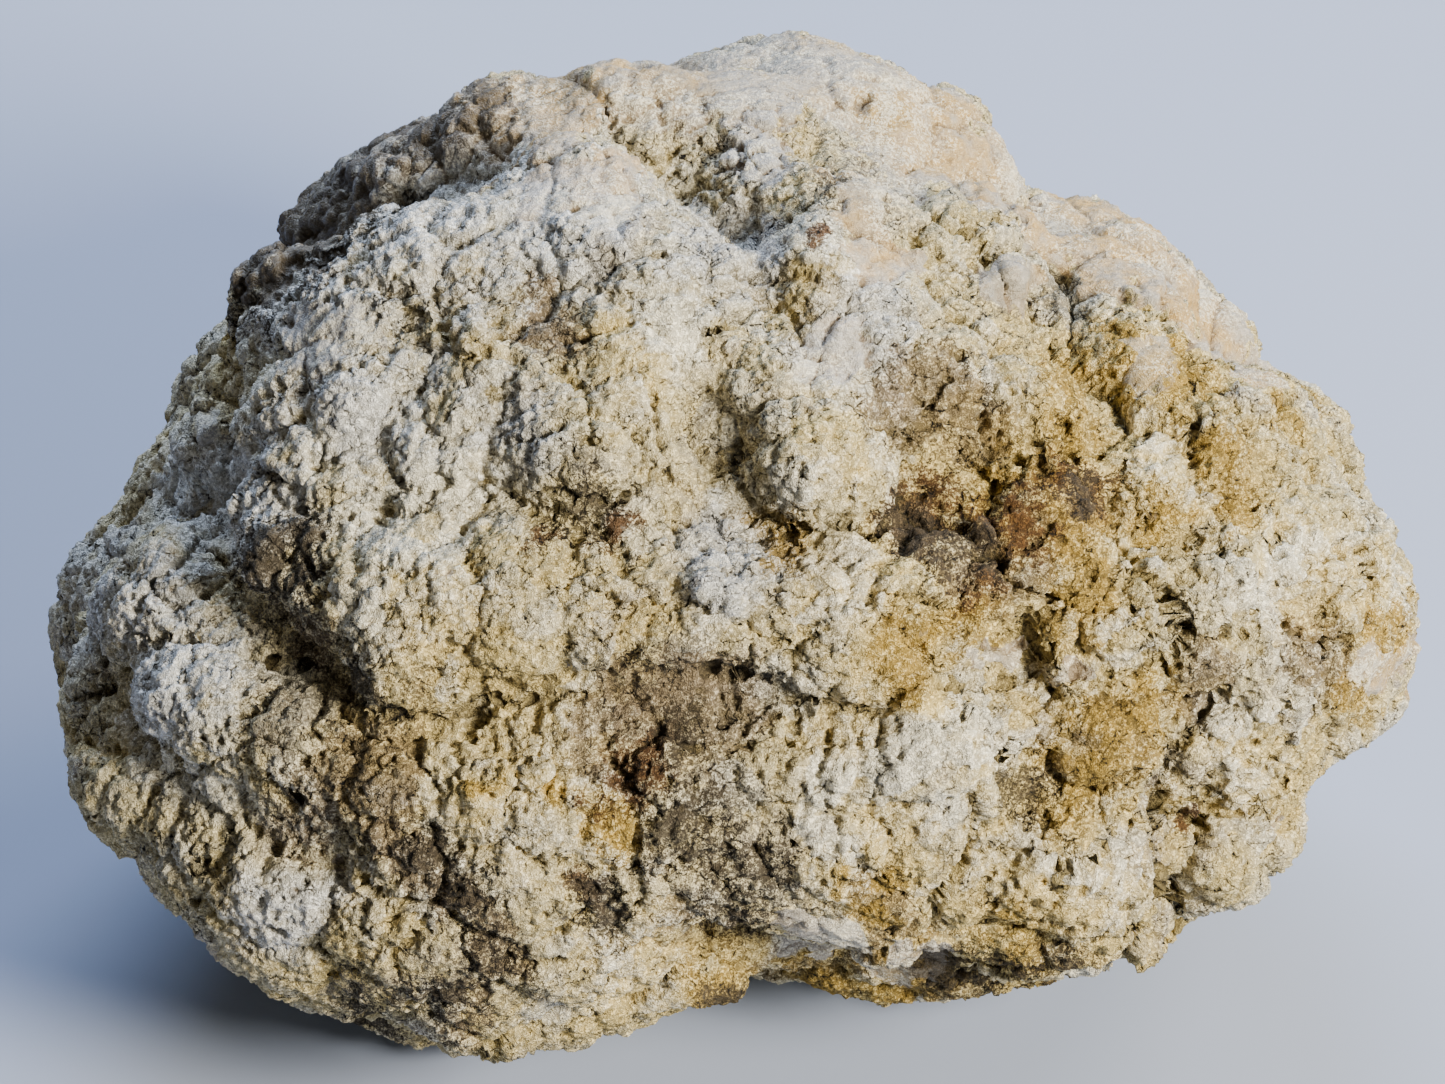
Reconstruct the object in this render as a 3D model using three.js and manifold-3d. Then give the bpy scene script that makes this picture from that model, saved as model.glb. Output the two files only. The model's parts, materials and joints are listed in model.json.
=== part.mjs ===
// A whole, uncut geode: one knobbly nodule of chalky rind and chalcedony that rests on a small flat spot.
// Millimetres, +Z up. The origin is on the flat spot, straight below the middle of the stone.
//
// The stone is laid out in a face frame of its own and then tipped back onto its flat spot. In the face
// frame x runs across the broad face, y runs up it and z comes out of it. A spot on the face is given by
// where it is seen on the plane through the middle, from an eye at EYE_DISTANCE in front.
import * as THREE from "three";
import { mergeVertices } from "three/addons/utils/BufferGeometryUtils.js";
import Module from "manifold-3d";

const EYE_DISTANCE = 600; // from the eye to the plane through the middle
const FACE_TILT = 45; // degrees that the broad face looks up from the horizontal
const CENTRE_HEIGHT = 40; // middle of the stone above the ground
const FRONT_DEPTH = 41; // core, middle to its front
const BACK_DEPTH = 38; // core, middle to its back
const CORE_ROUNDNESS = 2.15; // 2 is an ellipse and more is squarer
const FACE_LEAN = -0.16; // the rim comes forward by this share of y, so the lower face bulges
const RIM_INSET = 3.5; // the core's rim lies this far inside the outline, and the rim lobes fill it
const DETAIL = 21; // 20 * (DETAIL + 1)^2 faces
const LOBE_BLEND = 5; // a larger power gives sharper creases between lobes
const BACK_LOBES = 74;
const SMALLEST_BACK_LOBE = 9;
const LARGEST_BACK_LOBE = 15;
const BACK_LOBE_RISE = 0.3; // height of a back lobe as a share of its radius
const BACK_LOBE_VARIETY = 1.4; // back lobes are up to this much higher or lower than that
const BACK_LOBE_STRAY = 0.5; // radians that a back lobe strays at most from its place on the spiral
const BACK_LOBE_START = -0.02; // how far behind the rim the back lobes start; the back's middle is at -1
const LOBE_SQUARENESS = 0.62; // power of a lobe's dome: 0.5 is a ball, 1 is a shallow swell
const GROUND_SPAN = 400; // the block of ground is wider than the stone

// The outline of the broad face, anticlockwise from the right-hand end.
const OUTLINE = [
  [70.2, -6], [69, -14], [63, -22], [58, -25.5], [56.5, -29], [52.5, -38], [44.5, -42.5], [30, -45],
  [18, -45.5], [8, -45], [-2, -46.5], [-12, -49], [-24, -52], [-36, -48], [-49, -43.5], [-57.5, -36],
  [-63, -27], [-66, -16], [-66.3, -7], [-61.8, 2], [-58.5, 9], [-54, 14.5], [-51.5, 20], [-47.5, 27],
  [-41.5, 35.5], [-32, 43.5], [-20, 48.3], [-4, 49.5], [10, 49], [17, 47], [26, 41.3], [31, 36],
  [40, 33.5], [48, 28], [55, 19.5], [61, 14.5], [66, 6], [70, -1],
];

// Lobes of the broad face: x, y, radius, height above the core.
const FACE_LOBES = [
  // left shoulder and the knobs below it
  [-34, 19, 17, 7.5], [-24, 26, 11, 7], [-42, 22, 9, 7], [-27, 9, 9, 6], [-36, 6, 8, 6],
  [-49, 13, 9, 4.5], [-20, 17, 9, 7], [-43, 2, 8, 5],
  // upper middle
  [-13, 28, 9, 6.5], [-4, 25, 9, 6.5], [-9, 17, 9, 6], [2, 16, 7, 6], [-14, 35, 8, 5.5],
  [-12, 9, 10, 6.5], [6, 25, 9, 6], [13, 20, 10, 6], [21, 27, 9, 5.5], [12, 31, 8, 5.5],
  [22, 18, 8, 5],
  // round knob and its neighbours
  [9.5, 7.5, 9.5, 7.5], [-4, 6, 6, 5], [-16, 0, 8, 5], [-7, -1, 6, 4.5], [19, 9, 6, 4],
  // middle band, standing over the ledge
  [-33, -7, 12, 6], [-20, -7, 12, 6], [-9, -7, 10, 6.2], [2, -5, 10, 6.2], [12, -6, 11, 6.8],
  [19, -9, 10, 6], [-27, -1, 8, 5], [25, -4, 8, 5],
  // left end
  [-57, -5, 9, 6], [-63, 1, 8, 4], [-62, -13, 9, 5], [-50, -16, 11, 6], [-42, -20, 9, 5.5],
  [-59, -23, 10, 5], [-57, 8, 8, 4], [-53, 17, 9, 5],
  // lower left
  [-31, -22, 12, 5.6], [-46, -34, 14, 6], [-29, -37, 16, 6.5], [-24, -47, 9, 4.5], [-38, -43, 10, 5.5],
  [-55, -33, 8, 3], [-18, -26, 12, 5.8], [-13, -38, 12, 5.4], [-10, -45, 8, 5], [-2, -42, 8, 4],
  // lower middle, the broad smooth lobe
  [8, -27, 17, 7], [20, -21, 12, 7.5], [-2, -29, 13, 6], [16, -34, 11, 6], [-3, -19, 9, 5],
  // lower right
  [36, -34, 14, 6.5], [28, -38, 10, 5.5], [47, -36, 9, 4], [51, -27, 10, 6], [52, -18, 10, 6],
  [39, -21, 9, 5.5], [32, -17, 7, 4.5], [12, -43, 8, 2.5], [22, -43, 8, 3],
  // right
  [38, -7, 10, 5.5], [47, -5, 11, 6], [57, 1, 11, 6], [58, -9, 11, 5.5], [66, -8, 7, 4],
  [60, -18, 9, 5], [31, 7, 9, 4.5], [43, 9, 10, 6], [53, 12, 9, 6], [41, 20, 9, 6], [50, 22, 8, 4.5],
  [61, 12, 7, 4], [33, 15, 8, 5],
  // top
  [23, 39, 12, 5.4], [13, 44, 10, 4.2], [2, 43, 9, 3.5], [-9, 43, 9, 5], [-21, 42, 10, 4],
  [-32, 37, 9, 2.5], [-41, 29, 8, 2.5], [-42, 35, 8, 3], [28, 30, 8, 5.5], [37, 29, 9, 3.5],
  [44, 25, 7, 3.5], [3, 36, 6, 3],
];

// Valleys of the broad face: depth, half width and the line that they follow.
const VALLEYS = [
  // ledge
  {
    depth: 1.8,
    half: 3,
    line: [
      [-41, -13], [-34, -16.5], [-24, -16], [-15, -14], [-2, -14.5], [8, -16.5], [17, -16.5],
      [22, -14], [28, -13],
    ],
  },
  // under knob
  {
    depth: 2.2,
    half: 2.8,
    line: [[-22, 3], [-13, 3], [-6, 2], [3, 1.5], [10, 0.5], [17, 2.5], [20, 7]],
  },
  // beside knob
  {
    depth: 3.2,
    half: 2.6,
    line: [[0, 16], [-1, 11], [1, 6], [3, 2]],
  },
  // left gap
  {
    depth: 4,
    half: 3,
    line: [[-56, 5], [-51, 2], [-48, -2], [-49, -8], [-42, -11.5], [-38, -12]],
  },
  // left crease
  {
    depth: 2.4,
    half: 2.6,
    line: [[-67, -12], [-60, -10], [-54, -9.5], [-48, -9.5]],
  },
  // shoulder split
  {
    depth: 2,
    half: 2.6,
    line: [[-27, 14], [-31, 9], [-33, 4]],
  },
  // right split
  {
    depth: 4.5,
    half: 2.8,
    line: [[47, -14], [44.5, -20], [43, -27], [44, -33], [46, -39]],
  },
  // upper right
  {
    depth: 3,
    half: 2.8,
    line: [[31, 37], [32, 30], [33, 24], [34, 17], [37, 12]],
  },
  // far right
  {
    depth: 2.4,
    half: 2.8,
    line: [[47, 22], [48, 12], [50, 4], [52, -2]],
  },
  // top groove
  {
    depth: 3.4,
    half: 2.8,
    line: [[-9, 39], [-3, 36], [2, 33], [3, 27], [4, 20]],
  },
  // behind shoulder
  {
    depth: 4,
    half: 3,
    line: [[-48, 28], [-40, 30], [-32, 35], [-24, 38]],
  },
  // bead hollow
  {
    depth: 3,
    half: 3.2,
    line: [[26, -9], [30, -13], [36, -15], [40, -13]],
  },
  // lobe foot
  {
    depth: 2.8,
    half: 3,
    line: [[29, -20], [27, -25], [33, -27], [41, -27]],
  },
  // under face
  {
    depth: 2.6,
    half: 3,
    line: [[-2, -38], [5, -40], [13, -40], [22, -40]],
  },
  // lower left
  {
    depth: 2.2,
    half: 2.8,
    line: [[-58, -19], [-51, -23], [-46, -26], [-38, -29]],
  },
];

// Radius of the outline in every direction, read off a smooth closed curve through its points.
function outlineRadius() {
  const curve = new THREE.CatmullRomCurve3(
    OUTLINE.map(([x, y]) => new THREE.Vector3(x, y, 0)),
    true,
    "centripetal",
  );
  const steps = 720;
  const polar = curve
    .getPoints(steps)
    .map((p) => [Math.atan2(p.y, p.x), Math.hypot(p.x, p.y)])
    .sort((a, b) => a[0] - b[0]);
  return (angle) => {
    let i = polar.findIndex(([a]) => a >= angle);
    if (i < 0) i = 0;
    const [a1, r1] = polar[i];
    const [a0, r0] = polar[(i + polar.length - 1) % polar.length];
    const turn = 2 * Math.PI;
    const span = (a1 - a0 + turn) % turn;
    const share = span > 0 ? ((angle - a0 + turn) % turn) / span : 0;
    return r0 + (r1 - r0) * Math.min(share, 1);
  };
}
const rimRadius = outlineRadius();

// The core in a unit direction: a squarish ellipsoid with the outline as its rim, leaning with the face.
function corePoint(direction) {
  const flat = Math.hypot(direction.x, direction.y);
  const rim = rimRadius(Math.atan2(direction.y, direction.x)) - RIM_INSET;
  const depth = direction.z > 0 ? FRONT_DEPTH : BACK_DEPTH;
  const p = CORE_ROUNDNESS;
  const size = ((flat / rim) ** p + (Math.abs(direction.z) / depth) ** p) ** (-1 / p);
  const point = direction.clone().multiplyScalar(size);
  point.z += FACE_LEAN * point.y;
  return point;
}

// The core's front at a place seen on the face from the eye.
function faceSpot(x, y) {
  let z = FRONT_DEPTH;
  const spot = new THREE.Vector3();
  const rounds = 6;
  for (let i = 0; i < rounds; i++) {
    const nearer = (EYE_DISTANCE - z) / EYE_DISTANCE;
    spot.set(x * nearer, y * nearer, 0);
    const rim = rimRadius(Math.atan2(spot.y, spot.x)) - RIM_INSET;
    const share = Math.min(spot.length() / rim, 1);
    z = FRONT_DEPTH * (1 - share ** CORE_ROUNDNESS) ** (1 / CORE_ROUNDNESS) + FACE_LEAN * spot.y;
  }
  spot.z = z;
  return spot;
}

// Lobes all over the hidden side, on a golden-angle spiral, with sizes that vary by a fixed sequence.
function backLobes() {
  const goldenAngle = Math.PI * (3 - Math.sqrt(5));
  const goldenRatio = (1 + Math.sqrt(5)) / 2;
  const lobes = [];
  for (let i = 0; i < BACK_LOBES; i++) {
    const z = BACK_LOBE_START - ((1 + BACK_LOBE_START) * (i + 0.5)) / BACK_LOBES;
    const ring = Math.sqrt(1 - z * z);
    const mix = ((7 * i) / goldenRatio) % 1;
    const angle = i * goldenAngle + BACK_LOBE_STRAY * mix;
    const at = corePoint(new THREE.Vector3(ring * Math.cos(angle), ring * Math.sin(angle), z));
    const radius = SMALLEST_BACK_LOBE + (LARGEST_BACK_LOBE - SMALLEST_BACK_LOBE) * mix;
    const height = BACK_LOBE_RISE * radius + BACK_LOBE_VARIETY * Math.sin(5 * i);
    lobes.push({ at, radius, height });
  }
  return lobes;
}

function faceLobes() {
  return FACE_LOBES.map(([x, y, radius, height]) => ({ at: faceSpot(x, y), radius, height }));
}

function valleyPaths() {
  return VALLEYS.map(({ depth, half, line }) => ({
    depth,
    half,
    path: line.map(([x, y]) => faceSpot(x, y)),
  }));
}

function distanceToPath(point, path) {
  const nearest = new THREE.Vector3();
  let least = Infinity;
  for (let i = 1; i < path.length; i++) {
    new THREE.Line3(path[i - 1], path[i]).closestPointToPoint(point, true, nearest);
    least = Math.min(least, nearest.distanceTo(point));
  }
  return least;
}

// The stone's surface in a unit direction.
function surfacePoint(direction, lobes, valleys) {
  const core = corePoint(direction);
  let domes = 0;
  for (const { at, radius, height } of lobes) {
    const share = at.distanceTo(core) / radius;
    if (share < 1) domes += (height * (1 - share * share) ** LOBE_SQUARENESS) ** LOBE_BLEND;
  }
  let rise = domes ** (1 / LOBE_BLEND);
  for (const { depth, half, path } of valleys) {
    const share = distanceToPath(core, path) / half;
    rise -= depth * Math.exp(-share * share);
  }
  return core.addScaledVector(direction, rise);
}

// A ball of even triangles, each corner moved out to the stone's surface.
function stoneGeometry() {
  const lobes = [...faceLobes(), ...backLobes()];
  const valleys = valleyPaths();
  const ball = new THREE.IcosahedronGeometry(1, DETAIL);
  ball.deleteAttribute("normal");
  ball.deleteAttribute("uv");
  const geometry = mergeVertices(ball, 1e-5);
  const corners = geometry.getAttribute("position");
  const corner = new THREE.Vector3();
  for (let i = 0; i < corners.count; i++) {
    corner.fromBufferAttribute(corners, i).normalize();
    const moved = surfacePoint(corner, lobes, valleys);
    corners.setXYZ(i, moved.x, moved.y, moved.z);
  }
  return geometry;
}

// Tips the face frame back so that the face looks up by FACE_TILT, and lifts the middle to its height.
function tipBack(geometry) {
  geometry.rotateX(THREE.MathUtils.degToRad(90 - FACE_TILT));
  geometry.translate(0, 0, CENTRE_HEIGHT);
  return geometry;
}

const wasm = await Module();
wasm.setup();

function toSolid(geometry) {
  return new wasm.Manifold(
    new wasm.Mesh({
      numProp: 3,
      vertProperties: new Float32Array(geometry.getAttribute("position").array),
      triVerts: new Uint32Array(geometry.index.array),
    }),
  );
}

function toGeometry(solid) {
  const { vertProperties, triVerts } = solid.getMesh();
  return new THREE.BufferGeometry()
    .setAttribute("position", new THREE.BufferAttribute(vertProperties, 3))
    .setIndex(new THREE.BufferAttribute(triVerts, 1));
}

// Everything below the ground plane is worn away, which leaves the flat spot.
function wearFlat(geometry) {
  const ground = new THREE.BoxGeometry(GROUND_SPAN, GROUND_SPAN, GROUND_SPAN);
  ground.translate(0, 0, -GROUND_SPAN / 2);
  ground.deleteAttribute("normal");
  ground.deleteAttribute("uv");
  return toGeometry(toSolid(geometry).subtract(toSolid(mergeVertices(ground))));
}

const rind = new THREE.MeshStandardMaterial({
  color: 0xd6ccb4,
  roughness: 0.92,
  metalness: 0,
  flatShading: true,
});
const stone = new THREE.Mesh(wearFlat(tipBack(stoneGeometry())), rind);
stone.name = "geode";

const geode = new THREE.Group();
geode.add(stone);
export default geode;
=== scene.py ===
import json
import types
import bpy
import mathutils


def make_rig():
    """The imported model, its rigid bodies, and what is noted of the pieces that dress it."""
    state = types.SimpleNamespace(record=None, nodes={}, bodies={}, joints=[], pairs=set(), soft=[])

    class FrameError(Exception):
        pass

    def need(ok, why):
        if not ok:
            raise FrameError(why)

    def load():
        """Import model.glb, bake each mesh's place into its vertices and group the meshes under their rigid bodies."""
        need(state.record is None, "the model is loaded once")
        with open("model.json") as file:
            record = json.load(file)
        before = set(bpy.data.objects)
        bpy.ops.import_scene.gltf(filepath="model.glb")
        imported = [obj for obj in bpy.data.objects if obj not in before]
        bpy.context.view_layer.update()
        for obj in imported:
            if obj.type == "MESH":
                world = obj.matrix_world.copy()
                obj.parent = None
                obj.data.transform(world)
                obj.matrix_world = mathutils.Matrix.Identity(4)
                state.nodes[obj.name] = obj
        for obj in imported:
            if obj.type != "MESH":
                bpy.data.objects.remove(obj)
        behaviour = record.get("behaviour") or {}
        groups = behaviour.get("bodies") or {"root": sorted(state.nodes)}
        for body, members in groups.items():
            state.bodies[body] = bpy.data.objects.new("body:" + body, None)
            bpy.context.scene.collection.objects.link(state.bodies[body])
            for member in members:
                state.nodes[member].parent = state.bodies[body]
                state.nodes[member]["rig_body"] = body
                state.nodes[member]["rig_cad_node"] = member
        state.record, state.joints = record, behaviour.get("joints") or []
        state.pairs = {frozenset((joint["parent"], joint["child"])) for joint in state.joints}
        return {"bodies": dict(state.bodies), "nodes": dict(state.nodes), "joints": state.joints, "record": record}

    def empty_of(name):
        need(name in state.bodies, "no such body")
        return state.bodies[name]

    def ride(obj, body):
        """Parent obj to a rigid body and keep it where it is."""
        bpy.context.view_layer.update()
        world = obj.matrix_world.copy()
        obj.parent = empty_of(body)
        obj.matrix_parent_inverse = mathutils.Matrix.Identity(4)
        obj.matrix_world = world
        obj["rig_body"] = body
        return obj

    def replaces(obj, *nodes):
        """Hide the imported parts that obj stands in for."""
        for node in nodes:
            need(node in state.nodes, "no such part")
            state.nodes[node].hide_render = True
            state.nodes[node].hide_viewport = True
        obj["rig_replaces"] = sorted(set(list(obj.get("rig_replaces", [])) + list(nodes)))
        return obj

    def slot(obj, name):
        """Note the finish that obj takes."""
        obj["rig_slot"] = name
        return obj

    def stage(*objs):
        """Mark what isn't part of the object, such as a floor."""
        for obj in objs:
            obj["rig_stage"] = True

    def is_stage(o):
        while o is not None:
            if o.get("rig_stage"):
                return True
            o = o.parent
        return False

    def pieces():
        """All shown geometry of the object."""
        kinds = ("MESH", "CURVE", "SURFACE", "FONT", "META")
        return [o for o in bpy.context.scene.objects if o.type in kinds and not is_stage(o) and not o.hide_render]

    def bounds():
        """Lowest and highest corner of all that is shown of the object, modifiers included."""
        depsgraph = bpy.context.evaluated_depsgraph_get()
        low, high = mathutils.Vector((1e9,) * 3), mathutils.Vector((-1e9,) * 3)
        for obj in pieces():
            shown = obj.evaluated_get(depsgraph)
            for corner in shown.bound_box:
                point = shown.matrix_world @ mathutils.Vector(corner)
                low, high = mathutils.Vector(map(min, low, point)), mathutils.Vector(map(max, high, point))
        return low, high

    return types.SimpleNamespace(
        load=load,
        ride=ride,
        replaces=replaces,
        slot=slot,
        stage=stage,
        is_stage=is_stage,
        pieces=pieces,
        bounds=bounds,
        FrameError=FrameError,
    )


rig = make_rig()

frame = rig.load()
cad_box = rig.bounds()

import gc
import json
import math
from itertools import compress

import bmesh
import bpy
import numpy as np
from mathutils import Vector, noise

gc.disable()  # the stone's many short lists need no collecting

# A whole, uncut geode that rests on its flat spot. Sizes here are millimetres, and Blender's are metres.
MM = 0.001
NODE = "geode"
SLOT = "rind"
BODY = "root"

FACE_TILT = math.radians(45)  # the broad face looks up by this much
CENTRE = np.array((0.0, 0.0, 40.0))  # middle of the stone
VIEW_DISTANCE = 600.0  # places on the stone are given as seen from here, on the plane through its middle
VIEW_WIDTH = 144.5  # what the view takes in across that plane

VOXEL = 0.3  # spacing of the stone's mesh
SEGMENTS = 5  # the fine mesh is shared out over this many segments, like those of an orange
FLAT_SPOT_FADE = 3.0  # relief fades out over this height above the ground


# --- Places on the stone -------------------------------------------------------------------------------------


class Side:
    """One side of the stone: its right, its up, and the way out of it towards whoever looks at it."""

    def __init__(self, right, up, out):
        self.right, self.up, self.out = (np.array(v, float) for v in (right, up, out))

    def places(self, points):
        """Where points are seen on this side."""
        lifted = points - CENTRE
        nearer = VIEW_DISTANCE / (VIEW_DISTANCE - lifted @ self.out)
        return np.stack([lifted @ self.right * nearer, lifted @ self.up * nearer], 1)

    def share(self, points, normals):
        """1 where the surface faces this side, falling to 0 round its edge."""
        sight = CENTRE + VIEW_DISTANCE * self.out - points
        sight /= np.linalg.norm(sight, axis=1)[:, None]
        return smooth_step(-0.12, 0.1, np.sum(normals * sight, axis=1))


SIN, COS = math.sin(FACE_TILT), math.cos(FACE_TILT)
FRONT = Side(right=(1, 0, 0), up=(0, SIN, COS), out=(0, -COS, SIN))
BACK = Side(right=(-1, 0, 0), up=(0, -SIN, -COS), out=(0, COS, -SIN))


def smooth_step(low, high, value):
    share = np.clip((value - low) / (high - low), 0, 1)
    return share * share * (3 - 2 * share)


def line_distance(places, line):
    """Distance from each place to a line of points, and how far along the line the nearest point is, 0 to 1."""
    nearest = np.full(len(places), np.inf)
    along = np.zeros(len(places))
    points = np.array(line, float)
    lengths = np.linalg.norm(np.diff(points, axis=0), axis=1)
    start = 0.0
    for a, b, length in zip(points, points[1:], lengths):
        share = np.clip((places - a) @ (b - a) / length**2, 0, 1)
        distance = np.linalg.norm(places - a - share[:, None] * (b - a), axis=1)
        closer = distance < nearest
        nearest[closer] = distance[closer]
        along[closer] = (start + share[closer] * length) / lengths.sum()
        start += length
    return nearest, along


def patches(places, discs, softness=0.35):
    """1 inside any of the discs (x, y, radius), with soft edges."""
    amount = np.zeros(len(places))
    for x, y, radius in discs:
        distance = np.hypot(places[:, 0] - x, places[:, 1] - y) / radius
        amount = np.maximum(amount, 1 - smooth_step(1 - softness, 1 + softness, distance))
    return amount


# --- Natural patterns ----------------------------------------------------------------------------------------


def swell(points, size, octaves=1, shift=0.0, fineness=0.5):
    """Noise from about -1 to 1 whose lumps are about size across. Each octave is this much of the one before."""
    fall = -math.log2(fineness)
    return np.array([noise.fractal(p, fall, 2.0, octaves) for p in (points / size + shift).tolist()])


def wander(points, size, reach, shift=0.0):
    """Moves points about by up to reach, so that what is laid out on them looks grown."""
    moved = [noise.noise_vector(p)[:] for p in (points / size + shift).tolist()]
    return points + reach * np.array(moved)


def cells(points, normals, size, shift=0.0):
    """For cells about size across: distance along the surface to the middle and to the edge, and the cell's tone."""
    places = points / size + shift
    found = []
    for p in places.tolist():
        middles = noise.voronoi(p)[1]
        found.append((*middles[0], *middles[1], noise.cell(middles[0] * 97.0)))
    found = np.array(found)
    own, other = found[:, :3], found[:, 3:6]
    across = other - own
    across /= np.linalg.norm(across, axis=1)[:, None]
    slant = np.sum(across * normals, axis=1)
    edge = np.sum(((own + other) / 2 - places) * across, axis=1) / np.sqrt(np.clip(1 - slant**2, 0.04, 1))
    inward = own - places
    middle = np.sum(inward**2, axis=1) - np.sum(inward * normals, axis=1) ** 2
    return size * np.sqrt(np.maximum(middle, 0)), size * edge, found[:, 6]


def nodules(points, normals, size, shift=0.0, groove=0.2):
    """Crowded round lumps about size across: how high they are in their middles, at their brims, and their tone."""
    middle, edge, tone = cells(wander(points, 0.7 * size, 0.3 * size, shift + 3), normals, size, shift)
    dome = 0.6 - 1.2 * np.minimum(middle / size, 1) ** 2
    brim = (1 - np.clip(edge / (groove * size), 0, 1)) ** 2
    return dome + 0.5 * (tone - 0.5), -brim, tone


# --- What is where on the stone ------------------------------------------------------------------------------

# Knobs and hollows: x, y, radius, height.
LUMPS = {
    FRONT: [
        (-35, 12, 8, 1.2), (-14.5, 7.5, 6.5, 1.2), (10.5, 7.5, 7.5, 0.9), (-25, 21, 2.8, 1.2), (27.5, -11.5, 2.3, 1.6),
        (33.5, -12.5, 2.2, 1.5), (35, -15, 1.9, 1.2), (27, -26, 1.9, 1.1), (29, 26.5, 2.6, 1.0), (32.5, 9.5, 1.1, 0.8),
        (9.5, -15.5, 2.2, 0.9), (13, -15.5, 1.9, 0.9), (-48, 26.5, 2.6, 1.2), (-45.5, 28.5, 2.4, 1.2),
        (-43.5, 31.5, 2.4, 1.1), (-37, 37.5, 2.4, 1.1), (-33, 37, 2.4, 1.1), (1, -30, 2.1, 0.5),
        (30, 15, 5, 1.3), (42, 18, 5, 1.1), (51.5, 11, 5.5, 1.1), (44, 4, 5, 0.9), (54, -1, 6.5, 1.3), (60, 2, 4.4, 0.8),
        (65.5, -8, 5.5, 1.1), (56.5, -15.5, 5.5, 1.0), (48, -21, 4, 0.9), (50, -32, 5, 0.8), (36.5, -33, 9.5, 1.4),
        (40, -20, 5, 0.9), (22, -19.5, 9, 1.5), (13, -23, 6, 0.7), (31.5, -18, 3.6, 0.8),
        (-51.5, 8, 7.5, 0.9), (-55, -1.5, 5, 0.9), (-45, -1, 5.5, 1.3), (-32.5, -5.5, 8, 1.2), (-53, -13, 6.5, 1.0),
        (-44, -17.5, 5, 0.9), (-32.5, -14, 6, 0.9), (-61.5, -25, 6, 0.7), (-45, -37, 8.5, 0.9), (-20, -27, 7, 0.9),
        (-8, -33, 8, 0.7), (9, -33, 8, 0.7), (0, -4, 7, 0.8), (-20, -7, 7, 0.8), (-11, 29, 7, 0.7),
        (9.5, 30, 2.6, -0.3), (19, 12.5, 2.3, -0.5), (30, -25, 4.4, -1.1), (47, -6, 4.4, -0.7),
        (-1, -17, 3.4, -0.6), (31, -12, 6, -0.6), (15, -38.5, 3, -0.4), (-43, -12, 3.4, -0.9), (-18, 3, 3, -0.6),
        (1.5, 9, 2.4, -0.6), (-3, 19.5, 2, -0.4),
    ],
    BACK: [
        (-20, 10, 8, 1.2), (14, 16, 7, 1.2), (32, -6, 8, 1.3), (-36, -12, 7, 1.1), (4, -20, 8, 1.2),
        (-6, 28, 7, -0.8), (24, 6, 4, -1.0), (-28, 24, 5, -0.9), (46, 10, 4, -0.9), (12, -34, 5, -0.9),
    ],
}

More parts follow.
